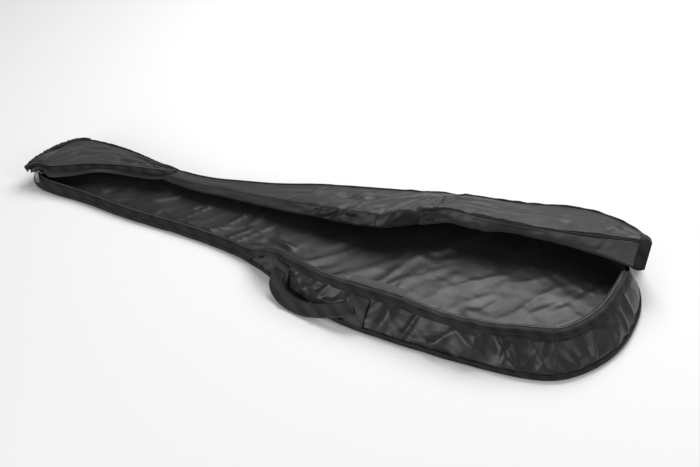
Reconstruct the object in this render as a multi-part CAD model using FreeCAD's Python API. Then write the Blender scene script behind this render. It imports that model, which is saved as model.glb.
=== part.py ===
import FreeCAD, Part
import math
import os

# Padded gig bag, lying open on its back panel. Millimetres.
# X runs from the head end to the tail end, Y from the zipped side to the hinge side, Z is up.
# The origin is on the underside of the back panel, in the middle of the bag's length and body.

Vector = FreeCAD.Vector

# ---- driving dimensions -------------------------------------------------------------------
# The back panel's outline, anticlockwise from the zipped side's head corner. Each row is
# x, y, the height of the wall's rim there, and how far the rim leans in over the panel.
OUTLINE = [
    (-618, -58, 30, 4), (-602, -82, 28, 4), (-500, -96, 26, 4), (-390, -103, 26, 4),
    (-250, -104, 26, 4), (-130, -112, 28, 4), (-60, -128, 44, 6), (20, -162, 58, 8),
    (109, -197, 60, 20), (220, -209, 60, 34), (360, -207, 60, 30), (454, -199, 60, 38),
    (519, -179, 60, 38), (563, -133, 60, 36), (590, -75, 60, 36), (603, 10, 60, 34),
    (592, 90, 50, 24), (560, 142, 36, 10), (510, 180, 25, 6), (440, 204, 25, 5),
    (340, 210, 25, 5), (230, 202, 25, 5), (130, 174, 25, 5), (20, 136, 27, 5),
    (-60, 102, 30, 5), (-140, 70, 33, 5), (-220, 50, 34, 5), (-330, 46, 34, 5),
    (-450, 54, 34, 5), (-560, 52, 34, 5), (-604, 36, 33, 5), (-618, -5, 32, 5),
]
HEAD_CORNER, NECK_END, BODY_END, TAIL_END, WAIST_FAR, HEAD_FAR = 1, 5, 12, 17, 23, 29

SHELL = 2.0            # outer nylon with its backing
FOAM = 6.5             # closed-cell padding
LINING = 1.5           # inner nylon
PANEL = SHELL + FOAM + LINING

BINDING_WIDTH = 4.0
BINDING_BOTTOM = 1.5
BINDING_TOP = 11.5
BINDING_GAP = 0.5

TAPE_WIDTH = 13.0
TAPE = 1.2
COIL_WIDTH = 3.0
COIL = 2.8
TAPE_LIFT = 0.5        # the tape's own stitching keeps it just off the rim

# The lid over the body is folded lengthwise: a hinge leaf, a top leaf that lies back over it,
# and a drop leaf that hangs behind the bag. It is drawn shut and flat, then folded open.
WAIST_X = 150.0        # head-side edge of the folding part of the lid
FOLD_Y = 92.0
HINGE_LEAF_Z = 66.0    # middle of the hinge leaf at the fold
HINGE_LEAF_TILT = 14.5
FOLD_AXIS_Z = 82.0
SHUT_Z = 69.0          # middle of the shut top leaf
TOP_LEAF_WIDTH = 126.0
TOP_LEAF_SLOPE = 21.5  # how far the opened top leaf falls towards the hinge side
DROP_LEAF_WIDTH = 54.0
DROP_LEAF_SLOPE = 40.0
LEAF_GAP = 0.6
STRIP_WIDTH = 16.0     # gusset strip along the lid's free edge

# The handle hangs outside the zipped side from two sewn patches.
PATCH_WIDTH = 38.0
PATCH = 2.0
PATCH_GAP = 0.8
PATCH_X = (15.0, 175.0)
HANDLE_WEB = 26.0
HANDLE_DEPTH = 54.0
HANDLE = 3.5
HANDLE_SLOPE = 42.0
HANDLE_PIVOT_Z = 41.0
HANDLE_STANDOFF = 10.5

# The zip slider rides on the head end of the zipped side.
SLIDER_LENGTH = 13.0
SLIDER_WIDTH = 9.0
SLIDER_HEIGHT = 4.5
SLIDER_AT = (-585.0, -81.5, 31.5)
SLIDER_HEADING = (200.0, -17.0)
PULL_LENGTH = 24.0
PULL_WIDTH = 9.0
PULL = 1.6
PULL_OUT = -13.0       # outer face of the hanging pull, across from the slider's middle


# ---- the outline --------------------------------------------------------------------------
def closed_curve(points):
    curve = Part.BSplineCurve()
    curve.interpolate(Points=points, PeriodicFlag=True)
    return curve


SEAM = closed_curve([Vector(x, y, 0) for x, y, rim, lean in OUTLINE])
SPAN = SEAM.LastParameter - SEAM.FirstParameter
KNOTS = [SEAM.parameter(Vector(x, y, 0)) for x, y, rim, lean in OUTLINE]
KNOTS[0] = SEAM.FirstParameter


def profile(u, column):
    """A rim column of OUTLINE, eased between the outline's points."""
    u = SEAM.FirstParameter + (u - SEAM.FirstParameter) % SPAN
    ends = KNOTS + [KNOTS[0] + SPAN]
    rows = OUTLINE + [OUTLINE[0]]
    for low, high, row, following in zip(ends, ends[1:], rows, rows[1:]):
        if low <= u <= high:
            share = (u - low) / (high - low)
            ease = share * share * (3 - 2 * share)
            return row[column] + (following[column] - row[column]) * ease
    return OUTLINE[0][column]


def station(u, inset, height):
    """The point at parameter u, moved in from the seam and up."""
    wrapped = SEAM.FirstParameter + (u - SEAM.FirstParameter) % SPAN
    at = SEAM.value(wrapped)
    along = SEAM.tangent(wrapped)[0]
    return Vector(at.x - along.y * inset, at.y + along.x * inset, height)


def rim(u):
    return profile(u, 2)


def lean(u):
    return profile(u, 3)


def offset_face(inset, height=0.0):
    """The outline moved in by inset, as a flat face."""
    count = 3 * len(OUTLINE)
    points = [station(SEAM.FirstParameter + SPAN * i / count, inset, height) for i in range(count)]
    return Part.Face(Part.Wire(closed_curve(points).toShape()))


def slab(inset, low, high):
    return offset_face(inset, low).extrude(Vector(0, 0, high - low))


# ---- strips that follow the seam -----------------------------------------------------------
def stretch(first, last, step=2):
    """Parameters from one outline point to a later one, with step stations in each span."""
    start, stop = KNOTS[first], KNOTS[last]
    if stop <= start:
        stop += SPAN
    spans = (last - first) % len(OUTLINE)
    count = max(3, spans * step)
    return [start + (stop - start) * i / count for i in range(count + 1)]


def strip(stations, corners):
    """A solid along the stations. Each corner is a function of u that gives inset and height."""
    lines = [[station(u, *corner(u)) for u in stations] for corner in corners]
    edges = []
    for points in lines:
        curve = Part.BSplineCurve()
        curve.interpolate(points)
        edges.append(curve.toShape())
    faces = [Part.makeRuledSurface(a, b) for a, b in zip(edges, edges[1:] + edges[:1])]
    for end in (0, -1):
        ring = [points[end] for points in lines]
        faces.append(Part.Face(Part.makePolygon(ring + ring[:1])))
    shell = Part.Compound(faces)
    shell.sewShape()
    solid = Part.Solid(Part.Shell(shell.Faces))
    if solid.Volume < 0:
        solid.reverse()
    return solid


def wall(stations, near, far):
    """A leaning wall layer between two depths measured in from the outer face."""
    return strip(stations, [
        lambda u: (near, PANEL),
        lambda u: (far, PANEL),
        lambda u: (lean(u) + far, rim(u)),
        lambda u: (lean(u) + near, rim(u)),
    ])


def rim_strip(stations, near, far, low, high):
    """A flat strip on the rim, between two insets from its outer edge and two heights."""
    return strip(stations, [
        lambda u: (lean(u) + near, rim(u) + low),
        lambda u: (lean(u) + far, rim(u) + low),
        lambda u: (lean(u) + far, rim(u) + high),
        lambda u: (lean(u) + near, rim(u) + high),
    ])


# ---- lower bag ----------------------------------------------------------------------------
def back_panel():
    edge = BINDING_WIDTH / 2
    return {
        "back_panel_shell": slab(0, 0, SHELL),
        "back_panel_foam": slab(edge, SHELL, SHELL + FOAM),
        "back_panel_lining": slab(edge, SHELL + FOAM, PANEL),
        "back_panel_binding": slab(-BINDING_WIDTH, BINDING_BOTTOM, BINDING_TOP).cut(
            slab(-BINDING_GAP, BINDING_BOTTOM - 1, BINDING_TOP + 1)),
    }


def walls():
    stretches = {
        "zip_side_neck_wall": stretch(HEAD_CORNER, NECK_END),
        "zip_side_body_wall": stretch(NECK_END, BODY_END),
        "tail_wall": stretch(BODY_END, TAIL_END),
        "hinge_side_body_wall": stretch(TAIL_END, WAIST_FAR),
        "hinge_side_neck_wall": stretch(WAIST_FAR, HEAD_FAR),
        "head_end_wall": stretch(HEAD_FAR, HEAD_CORNER),
    }
    pieces = {}
    for name, stations in stretches.items():
        pieces[name + "_shell"] = wall(stations, 0.2, SHELL)
        pieces[name + "_foam"] = wall(stations, SHELL, SHELL + FOAM)
        pieces[name + "_lining"] = wall(stations, SHELL + FOAM, PANEL)
    return pieces


def lower_zip():
    neck = stretch(HEAD_CORNER, NECK_END)
    side = stretch(NECK_END, BODY_END)
    tail = stretch(BODY_END, TAIL_END - 1)
    top = TAPE_LIFT + TAPE
    coil_edge = 0.5 + COIL_WIDTH
    coil_low, coil_high = top + 0.4, top + COIL - TAPE
    stop_at = station(tail[-1], lean(tail[-1]), rim(tail[-1]) + top + 0.8)
    return {
        "lower_zip_neck_tape": rim_strip(neck, 0.5, TAPE_WIDTH, TAPE_LIFT, top),
        "lower_zip_side_tape": rim_strip(side, 0.5, TAPE_WIDTH, TAPE_LIFT, top),
        "lower_zip_tail_tape": rim_strip(tail, 0.5, TAPE_WIDTH, TAPE_LIFT, top),
        "lower_zip_neck_coil": rim_strip(neck, 0.5, coil_edge, coil_low, coil_high),
        "lower_zip_coil": rim_strip(side + tail[1:-1], 0.5, coil_edge, coil_low, coil_high),
        "zip_bottom_stop": Part.makeBox(5, 5, 2.4, stop_at - Vector(5, 5, 0)),
    }


# ---- lid ----------------------------------------------------------------------------------
def turned(shape, degrees, y, z):
    """The shape turned about an axis along +X through y and z."""
    copy = shape.copy()
    copy.rotate(Vector(0, y, z), Vector(1, 0, 0), degrees)
    return copy


def lid_layers(low_y, high_y, middle):
    """Shut lid layers over the body between two values of Y: lining below, shell on top."""
    bottom = middle - PANEL / 2
    heights = {
        "lining": (bottom, bottom + LINING),
        "foam": (bottom + LINING, bottom + LINING + FOAM),
        "shell": (bottom + LINING + FOAM, bottom + PANEL),
    }
    cutter = Part.makeBox(600, high_y - low_y, 200, Vector(WAIST_X, low_y, 0))
    return {layer: slab(9, low, high).common(cutter) for layer, (low, high) in heights.items()}


def hinge_leaf():
    flat = lid_layers(FOLD_Y, 320, HINGE_LEAF_Z)
    leaf = {"lid_hinge_leaf_" + layer: turned(piece, -HINGE_LEAF_TILT, FOLD_Y, HINGE_LEAF_Z)
            for layer, piece in flat.items()}
    return leaf


def open_top(shape):
    return turned(shape, -180 - TOP_LEAF_SLOPE, FOLD_Y, FOLD_AXIS_Z)


def drop_axis():
    """Y and Z of the drop leaf's fold when the lid is shut, on the lid's shell side."""
    return FOLD_Y - TOP_LEAF_WIDTH - 2, SHUT_Z + PANEL / 2


def open_drop(shape):
    y, z = drop_axis()
    bent = turned(shape, -(DROP_LEAF_SLOPE - TOP_LEAF_SLOPE), y, z)
    return open_top(bent)


def top_leaf():
    flat = lid_layers(FOLD_Y - TOP_LEAF_WIDTH, FOLD_Y - LEAF_GAP, SHUT_Z)
    leaf = {"lid_top_leaf_" + layer: open_top(piece) for layer, piece in flat.items()}
    edge = slab(9 - TAPE_WIDTH, SHUT_Z - TAPE, SHUT_Z).cut(slab(8.8, 0, 200))
    reach = TOP_LEAF_WIDTH - 2
    tail_edge = edge.common(Part.makeBox(200, reach, 200, Vector(500, FOLD_Y - reach, 0)))
    leaf["lid_tail_zip_tape"] = open_top(tail_edge)
    return leaf


def drop_leaf():
    high = drop_axis()[0] - LEAF_GAP - 2
    low = high - DROP_LEAF_WIDTH
    flat = lid_layers(low, high, SHUT_Z)
    leaf = {"lid_drop_leaf_" + layer: open_drop(piece) for layer, piece in flat.items()}
    tail_x = 515.0
    length = tail_x - WAIST_X
    edge = low - 1.5
    strips = {
        "lid_gusset_strip": (edge - STRIP_WIDTH, STRIP_WIDTH, 0.0, 2.0),
        "upper_zip_tape": (edge - STRIP_WIDTH - TAPE_WIDTH / 2, TAPE_WIDTH / 2, 0.4, TAPE),
        "upper_zip_coil": (edge - STRIP_WIDTH - TAPE_WIDTH / 2 - 2, 2.0, 0.0, 2.0),
    }
    for name, (y, width, base, thick) in strips.items():
        flat_strip = Part.makeBox(length, width, thick, Vector(WAIST_X, y, SHUT_Z + base))
        bent = turned(flat_strip, DROP_LEAF_SLOPE, low, SHUT_Z + 1)
        leaf[name] = open_drop(bent)
    return leaf


def neck_lid():
    """The neck's part of the lid, folded back along the hinge side and hanging behind it."""
    run = stretch(WAIST_FAR - 1, HEAD_FAR - 1)

    def ply(low, high, rise):
        def reach(u):
            return 30 + 42 * max(0.0, min(1.0, (station(u, 0, 0).x + 220) / 340))
        return strip(run, [
            lambda u: (2, rim(u) + 1 + low),
            lambda u: (reach(u), rim(u) + rise + low),
            lambda u: (reach(u), rim(u) + rise + high),
            lambda u: (2, rim(u) + 1 + high),
        ])

    def drape(near, far):
        return strip(run, [
            lambda u: (-5 - near, rim(u) + 6),
            lambda u: (-34 - near, 2),
            lambda u: (-34 - far, 2),
            lambda u: (-5 - far, rim(u) + 6),
        ])

    pieces = {
        "neck_lid_lower_lining": ply(0, LINING, 12),
        "neck_lid_lower_foam": ply(LINING, 5, 12),
        "neck_lid_lower_shell": ply(5, 5 + SHELL, 12),
        "neck_lid_upper_shell": ply(7.5, 9.5, 14),
        "neck_lid_upper_foam": ply(9.5, 13, 14),
        "neck_lid_upper_lining": ply(13, 14.5, 14),
        "neck_lid_drape_foam": drape(0, 3.5),
        "neck_lid_drape_shell": drape(-2, 0),
        "neck_lid_drape_lining": drape(3.5, 5),
    }
    return pieces


def head_cover():
    """The lid's head end, still joined to the bag across the head end and the hinge side."""
    corners = [(-608, -66), (-606, 34), (-560, 42), (-478, 44), (-440, -8), (-540, -62)]
    pieces = {}
    for layer, low, high in (("lining", 0, 1.5), ("foam", 1.5, 5), ("shell", 5, 7)):
        ring = [Vector(x, y, 36 + low) for x, y in corners]
        flat = Part.Face(Part.makePolygon(ring + ring[:1]))
        pieces["head_cover_" + layer] = flat.extrude(Vector(0, 0, high - low))
    edge = [(-608, -77), (-540, -73), (-440, -19), (-436, -8), (-540, -61), (-608, -66)]
    ring = [Vector(x, y, 39) for x, y in edge]
    tape = Part.Face(Part.makePolygon(ring + ring[:1])).extrude(Vector(0, 0, TAPE))
    pieces["head_cover_zip_tape"] = tape.cut(pieces["head_cover_foam"])
    return pieces


# ---- handle, slider and small pieces --------------------------------------------------------
def seam_at(x):
    """The parameter of the zipped side's seam at x."""
    low, high = KNOTS[NECK_END], KNOTS[BODY_END]
    for _ in range(40):
        middle = (low + high) / 2
        if SEAM.value(middle).x < x:
            low = middle
        else:
            high = middle
    return low


def wall_face(u, height, proud):
    """The wall's outer face at a height, as an inset that stands proud by the given amount."""
    return lean(u) * (height - PANEL) / (rim(u) - PANEL) - proud


def anchors():
    pieces = {}
    for name, x in zip(("handle_anchor_head_side", "handle_anchor_tail_side"), PATCH_X):
        first, last = seam_at(x - PATCH_WIDTH / 2), seam_at(x + PATCH_WIDTH / 2)
        run = [first + (last - first) * i / 3 for i in range(4)]
        low, high = 14.0, 55.0
        pieces[name] = strip(run, [
            lambda u: (wall_face(u, low, PATCH_GAP), low),
            lambda u: (wall_face(u, high, PATCH_GAP), high),
            lambda u: (wall_face(u, high, PATCH_GAP + PATCH), high),
            lambda u: (wall_face(u, low, PATCH_GAP + PATCH), low),
        ])
    return pieces


def handle_frame():
    """Pivot point between the patches, direction along them, and outward direction."""
    ends = [station(seam_at(x), wall_face(seam_at(x), HANDLE_PIVOT_Z, HANDLE_STANDOFF), HANDLE_PIVOT_Z)
            for x in PATCH_X]
    along = (ends[1] - ends[0]).normalize()
    outward = Vector(along.y, -along.x, 0)
    return ends, along, outward


def handle():
    """A flat webbing loop: straight legs joined by a round bow, with an open hand gap."""
    ends, along, outward = handle_frame()
    span = (ends[1] - ends[0]).Length
    half = HANDLE_WEB / 2

    def loop(grow):
        left, right = -half - grow, span + half + grow
        deep = HANDLE_DEPTH + grow
        bend = min(deep, (right - left) / 2) * 0.8
        a, b = Vector(left, 0, 0), Vector(left, deep - bend, 0)
        c, d = Vector(left + bend, deep, 0), Vector(right - bend, deep, 0)
        e, f = Vector(right, deep - bend, 0), Vector(right, 0, 0)
        round_in = Part.Arc(b, Vector(left + bend * 0.2929, deep - bend * 0.2929, 0), c)
        round_out = Part.Arc(d, Vector(right - bend * 0.2929, deep - bend * 0.2929, 0), e)
        edges = [Part.LineSegment(a, b), round_in, Part.LineSegment(c, d), round_out,
                 Part.LineSegment(e, f), Part.LineSegment(f, a)]
        return Part.Face(Part.Wire([edge.toShape() for edge in edges]))

    band = loop(0).cut(loop(-HANDLE_WEB)).extrude(Vector(0, 0, HANDLE))
    turn = FreeCAD.Matrix(
        along.x, outward.x, 0, ends[0].x,
        along.y, outward.y, 0, ends[0].y,
        0, 0, -1, ends[0].z,
        0, 0, 0, 1)
    placed = band.transformGeometry(turn)
    placed.rotate(ends[0], along, HANDLE_SLOPE)
    return {"handle_webbing": placed}


def zip_slider():
    at = Vector(*SLIDER_AT)
    heading = math.degrees(math.atan2(SLIDER_HEADING[1], SLIDER_HEADING[0]))
    body = Part.makeBox(SLIDER_LENGTH, SLIDER_WIDTH, SLIDER_HEIGHT,
                        Vector(-SLIDER_LENGTH / 2, -SLIDER_WIDTH / 2, 0))
    body = body.makeFillet(1.2, [edge for edge in body.Edges if edge.Length < SLIDER_HEIGHT + 0.1])
    bridge = Part.makeBox(6, 3.2, 3.6, Vector(-3, -4.9, SLIDER_HEIGHT - 0.4))
    pin_hole = Part.makeCylinder(1.1, 8, Vector(-4, -3.4, SLIDER_HEIGHT + 1.7), Vector(1, 0, 0))
    body = body.fuse(bridge.cut(pin_hole)).removeSplitter()

    pin = Part.makeCylinder(0.8, 10, Vector(-5, -3.4, SLIDER_HEIGHT + 1.7), Vector(1, 0, 0))
    cheeks = [Part.makeBox(1.6, -2.6 - PULL_OUT, 3.0, Vector(x, PULL_OUT, SLIDER_HEIGHT + 0.3)) for x in (-5.2, 3.6)]
    top = SLIDER_HEIGHT + 3.3
    blade = Part.makeBox(PULL_WIDTH + 1.4, PULL, PULL_LENGTH,
                         Vector(-(PULL_WIDTH + 1.4) / 2, PULL_OUT, top - PULL_LENGTH))
    eye = Part.makeCylinder(2.4, 20, Vector(0, -15, top - PULL_LENGTH + 6), Vector(0, 1, 0))
    tab = blade.cut(eye).fuse([pin] + cheeks).removeSplitter()
    placed = {}
    for name, shape in (("zip_slider_body", body), ("zip_pull_tab", tab)):
        shape.rotate(Vector(0, 0, 0), Vector(0, 0, 1), heading)
        shape.translate(at)
        placed[name] = shape
    return placed


def inner_tab():
    """A flat tab of lining cloth sewn inside the rim behind the handle."""
    first, last = seam_at(140.0), seam_at(246.0)
    run = [first + (last - first) * i / 4 for i in range(5)]
    return {"inner_tab": strip(run, [
        lambda u: (lean(u) + 4.5, rim(u) + 3.4),
        lambda u: (lean(u) + 20.0, rim(u) + 4.8),
        lambda u: (lean(u) + 20.0, rim(u) + 6.3),
        lambda u: (lean(u) + 4.5, rim(u) + 4.9),
    ])}


def write_parts():
    os.makedirs("parts", exist_ok=True)
    groups = [back_panel(), walls(), lower_zip(), hinge_leaf(), top_leaf(), drop_leaf(),
              neck_lid(), head_cover(), anchors(), handle(), zip_slider(), inner_tab()]
    for group in groups:
        for name, shape in group.items():
            box = shape.BoundBox
            print(f"{name:32s} valid {shape.isValid()} solids {len(shape.Solids)} "
                  f"x {box.XMin:.0f}..{box.XMax:.0f} y {box.YMin:.0f}..{box.YMax:.0f} "
                  f"z {box.ZMin:.1f}..{box.ZMax:.1f}")
            shape.exportStep("parts/" + name + ".step")


write_parts()
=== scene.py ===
import math
import random

import bmesh
import bpy
import numpy as np
from mathutils import Matrix, Vector, noise


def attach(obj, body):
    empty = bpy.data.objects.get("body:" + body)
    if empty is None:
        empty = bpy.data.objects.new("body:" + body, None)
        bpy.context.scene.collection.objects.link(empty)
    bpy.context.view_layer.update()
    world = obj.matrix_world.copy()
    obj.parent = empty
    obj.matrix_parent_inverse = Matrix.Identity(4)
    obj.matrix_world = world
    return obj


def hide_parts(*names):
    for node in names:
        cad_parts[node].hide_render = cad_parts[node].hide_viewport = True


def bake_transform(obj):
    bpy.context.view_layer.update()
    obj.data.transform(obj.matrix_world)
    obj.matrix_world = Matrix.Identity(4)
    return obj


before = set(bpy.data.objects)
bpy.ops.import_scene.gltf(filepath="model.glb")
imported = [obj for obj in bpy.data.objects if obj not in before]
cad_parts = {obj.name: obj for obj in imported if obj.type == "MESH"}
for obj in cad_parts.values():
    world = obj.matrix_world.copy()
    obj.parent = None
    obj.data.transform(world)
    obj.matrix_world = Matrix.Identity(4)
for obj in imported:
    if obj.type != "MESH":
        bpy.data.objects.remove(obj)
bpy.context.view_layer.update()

# Padded gig bag lying open, in the CAD frame: X from the head end to the tail end, Y from the
# zipped side to the hinge side, Z up. Lengths are in millimetres, and MM turns them into metres.
MM = 0.001
ROOT, TOP_LEAF, DROP_LEAF = "lower_bag", "lid_top_leaf", "lid_drop_leaf"

FLOOR_CLOTH = 10.0     # height of the lining on the back panel
NYLON = 1.6            # thickness of the outer cloth
LINING = 1.0           # thickness of the lining
TAPE = 1.1             # thickness of the zip tape
LID_PAD = 4.4          # thickness of the lid's padded leaves
PANEL_INSET = 7.0      # from the seam to the edge of the back panel's lining
PADDING = 6.0          # room for the foam between a wall's outer cloth and its lining
WALL_FOOT = 6.0        # height at which the walls start
WALL_CURVE = 1.25      # how the wall's lean grows on the way up to the rim
WALL_STEP = 3.5        # spacing of the wall's points along the seam
TAPE_WIDTH = 21.0      # rough width of the zip tape, for the scale of its wave

# Rim of the lower bag, in order round the seam: side, place along that side, rim height, lean
# of the rim inwards.
RIM = [
    ("zip", -600, 27, 3), ("zip", -520, 21, 5), ("zip", -400, 18, 6), ("zip", -300, 17, 7),
    ("zip", -200, 18, 7), ("zip", -130, 20, 7), ("zip", -75, 25, 6), ("zip", -30, 50, 4),
    ("zip", 15, 60, 8), ("zip", 90, 61, 22), ("zip", 150, 61, 33), ("zip", 230, 61, 38),
    ("zip", 330, 62, 27), ("zip", 400, 62, 32), ("zip", 470, 61, 46), ("zip", 545, 60, 44),
    ("tail", -60, 60, 40), ("tail", 20, 61, 36), ("tail", 75, 60, 28), ("tail", 105, 50, 20),
    ("hinge", 560, 34, 8), ("hinge", 500, 26, 5), ("hinge", 100, 26, 5), ("hinge", -60, 28, 5),
    ("hinge", -540, 30, 5), ("head", 0, 30, 4),
]
RIM_HEIGHT, RIM_LEAN = 2, 3

# The folded lid at each x: y and z of the fold's lower edge, of its upper edge, and of the far
# edge of the ply that lies back over the bag.
LID = [
    (-596, -84, 28, -82, 32, 26, 34), (-575, -80, 31, -76, 37, 40, 37),
    (-545, -64, 33, -60, 44, 46, 40), (-497, -29, 34, -25, 46, 50, 42),
    (-440, -6, 33, -2, 45, 49, 39), (-384, 7, 31, 11, 43, 46, 36),
    (-322, 5, 29, 9, 41, 42, 34), (-258, 4, 28, 9, 42, 44, 36), (-200, 7, 29, 13, 45, 50, 42),
    (-105, 10, 32, 18, 52, 82, 43), (-44, 9, 36, 19, 58, 105, 46), (45, 11, 44, 22, 68, 139, 44),
    (129, 14, 54, 27, 82, 170, 43), (160, 32, 56, 42, 88, 182, 43), (221, 74, 58, 76, 89, 195, 46),
    (296, 83, 59, 86, 88, 202, 50), (367, 97, 60, 97, 84, 207, 58), (420, 101, 60, 103, 86, 209, 68),
    (480, 101, 60, 110, 90, 203, 77), (530, 97, 60, 116, 95, 182, 83), (570, 90, 60, 124, 97, 158, 87),
    (598, 87, 60, 128, 95, 138, 90),
]
LOW_Y, LOW_Z, TOP_Y, TOP_Z, FAR_Y, FAR_Z = range(1, 7)

# The lid's neck part runs from NECK_START to OVERLAP, and its body part from MOVING_START to
# BODY_END.
NECK_START, OVERLAP, MOVING_START, BODY_END = -596.0, 212.0, 186.0, 578.0


# ---- helpers ----
def seam_loop():
    """The back panel's outline, read from its CAD mesh, as an anticlockwise loop."""
    mesh = bmesh.new()
    mesh.from_mesh(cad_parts["back_panel_shell"].data)
    links = {}
    for edge in mesh.edges:
        if sum(face.normal.z < -0.9 for face in edge.link_faces) == 1 and len(edge.link_faces) == 1:
            a, b = edge.verts
            links.setdefault(a, []).append(b)
            links.setdefault(b, []).append(a)
    at = min(links, key=lambda v: v.co.x)
    loop, before = [], None
    while not loop or at is not loop[0]:
        loop.append(at)
        at, before = [v for v in links[at] if v is not before][0], at
    points = np.array([[v.co.x, v.co.y] for v in loop]) / MM
    mesh.free()
    x, y = points.T
    area = np.sum(x * np.roll(y, -1) - y * np.roll(x, -1))
    return points if area > 0 else points[::-1]


def unit(values):
    """Values held between 0 and 1."""
    return np.clip(values, 0, 1)


def distances(line):
    """How far along the line each of its points is."""
    return np.concatenate([[0], np.cumsum(np.linalg.norm(np.diff(line, axis=0), axis=1))])


def points_at(at, line):
    """The points that are the distances at along the line."""
    along = distances(line)
    return np.column_stack([np.interp(at, along, column) for column in line.T])


def even_loop(points, count):
    """The closed outline as count points, evenly spaced, and its length."""
    closed = np.vstack([points, points[:1]])
    length = distances(closed)[-1]
    return points_at(np.linspace(0, length, count, endpoint=False), closed), length


SEAM_COUNT = 1200
SEAM, SEAM_LENGTH = even_loop(seam_loop(), SEAM_COUNT)
SEAM_TANGENT = np.roll(SEAM, -4, axis=0) - np.roll(SEAM, 4, axis=0)
SEAM_TANGENT /= np.hypot(*SEAM_TANGENT.T)[:, None]
SEAM_INWARD = np.column_stack([-SEAM_TANGENT[:, 1], SEAM_TANGENT[:, 0]])


def on_seam(t, inset):
    """Points of the seam at arc lengths t, moved in by inset. Both may be arrays."""
    place = (np.asarray(t, float) / SEAM_LENGTH * SEAM_COUNT) % SEAM_COUNT
    low = np.floor(place).astype(int)
    share = (place - low)[..., None]
    high = (low + 1) % SEAM_COUNT
    point = SEAM[low] * (1 - share) + SEAM[high] * share
    inward = SEAM_INWARD[low] * (1 - share) + SEAM_INWARD[high] * share
    return point + inward * np.asarray(inset, float)[..., None]


def seam_at(side, value):
    """Arc length where the seam passes x (zip and hinge sides) or y (tail and head)."""
    x, y = SEAM.T
    middle = {"zip": y < -20, "hinge": y > 25, "tail": x > 540, "head": x < -590}[side]
    gap = np.abs((x if side in ("zip", "hinge") else y) - value)
    gap[~middle] = 1e9
    return float(np.argmin(gap)) * SEAM_LENGTH / SEAM_COUNT


ORIGIN_T = seam_at("zip", -600)
RIM_T = [(seam_at(side, value) - ORIGIN_T) % SEAM_LENGTH for side, value, *_ in RIM]
RIM_KEYS = np.array([*RIM_T, SEAM_LENGTH])


def smooth_between(at, keys, values):
    """Values eased between keys, monotone in each span."""
    at = np.asarray(at, float)
    index = np.clip(np.searchsorted(keys, at, side="right") - 1, 0, len(keys) - 2)
    share = unit((at - keys[index]) / (keys[index + 1] - keys[index]))
    slopes = np.gradient(values, keys)
    width = keys[index + 1] - keys[index]
    a, b = values[index], values[index + 1]
    h1 = 2 * share ** 3 - 3 * share ** 2 + 1
    h2 = share ** 3 - 2 * share ** 2 + share
    h3 = -2 * share ** 3 + 3 * share ** 2
    h4 = share ** 3 - share ** 2
    return h1 * a + h2 * width * slopes[index] + h3 * b + h4 * width * slopes[index + 1]


def rim_profile(t, column):
    """The rim's height or lean at arc lengths t."""
    values = np.array([row[column] for row in [*RIM, RIM[0]]], float)
    return smooth_between((np.asarray(t) - ORIGIN_T) % SEAM_LENGTH, RIM_KEYS, values)


def stretch(start, stop, step):
    """Arc lengths from one (side, value) to a later one, about step apart."""
    first, last = seam_at(*start), seam_at(*stop)
    if last <= first:
        last += SEAM_LENGTH
    return np.linspace(first, last, max(4, int((last - first) / step)))


LID_TABLE = np.array(LID, float)


def lid(x, column):
    """One column of the LID table at x."""
    return smooth_between(x, LID_TABLE[:, 0], LID_TABLE[:, column])


def crease_field(seed, count, low, high, length, width, height, angle, spread):
    """Random creases over a rectangle: centre, direction, length, width and height of each."""
    draw = random.Random(seed)
    found = []
    for _ in range(count):
        turn = math.radians(draw.gauss(angle, spread))
        found.append((
            draw.uniform(low[0], high[0]), draw.uniform(low[1], high[1]),
            math.cos(turn), math.sin(turn),
            length * draw.uniform(0.5, 1.4), width * draw.uniform(0.6, 1.5),
            height * draw.uniform(-1, 1),
        ))
    return found


def crumple(u, v, creases):
    """Displacement in millimetres at places u, v from a list of creases."""
    total = np.zeros_like(u)
    for cu, cv, du, dv, length, width, height in creases:
        along = (u - cu) * du + (v - cv) * dv
        across = (v - cv) * du - (u - cu) * dv + 6 * np.sin(along / length * 2.2) * width / 20
        fade = unit(1 - (2 * along / length) ** 2)
        ridge = np.exp(-(across / width) ** 2) - 0.5 * np.exp(-((across - 1.7 * width) / width) ** 2)
        total += height * fade * ridge
    return total


def noise_field(u, v, seed):
    """Smooth noise between about -1 and 1 at places u, v."""
    u, v = np.broadcast_arrays(u, v)
    return np.array([noise.noise(Vector((a, b, seed))) for a, b in zip(u.flat, v.flat)]).reshape(u.shape)


def ripple(u, v, scale_u, scale_v, height, seed):
    """Soft uneven swelling."""
    return height * noise_field(u / scale_u, v / scale_v, seed)


def crinkle(u, v, length, width, angle, height, seed):
    """Long sharp-edged folds that run at an angle, as in thin nylon that was packed away."""
    c, s = math.cos(math.radians(angle)), math.sin(math.radians(angle))
    bow = 9 * np.sin((u + 0.4 * v) / 61.0)
    along, across = (u * c + v * s) / length, (v * c - u * s + bow) / width
    sharp = 1 - abs(2 * noise_field(along, across, seed))
    patchy = 0.5 + noise_field(along * 0.7, across * 0.3, seed + 9)
    return height * (sharp ** 4 - 0.25) * unit(patchy * 1.6)


def push(grid, amount):
    """The grid with each point moved off the surface by amount, in millimetres."""
    cross = np.cross(np.gradient(grid, axis=0), np.gradient(grid, axis=1))
    normals = cross / np.maximum(np.linalg.norm(cross, axis=2, keepdims=True), 1e-9)
    return grid + normals * amount[..., None]


def add_object(name, points, faces, material):
    """A smooth-shaded mesh from points in millimetres."""
    mesh = bpy.data.meshes.new(name)
    mesh.from_pydata((np.array(points, float) * MM).tolist(), [], faces)
    mesh.materials.append(material)
    mesh.shade_smooth()
    obj = bpy.data.objects.new(name, mesh)
    bpy.context.scene.collection.objects.link(obj)
    return obj


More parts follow.
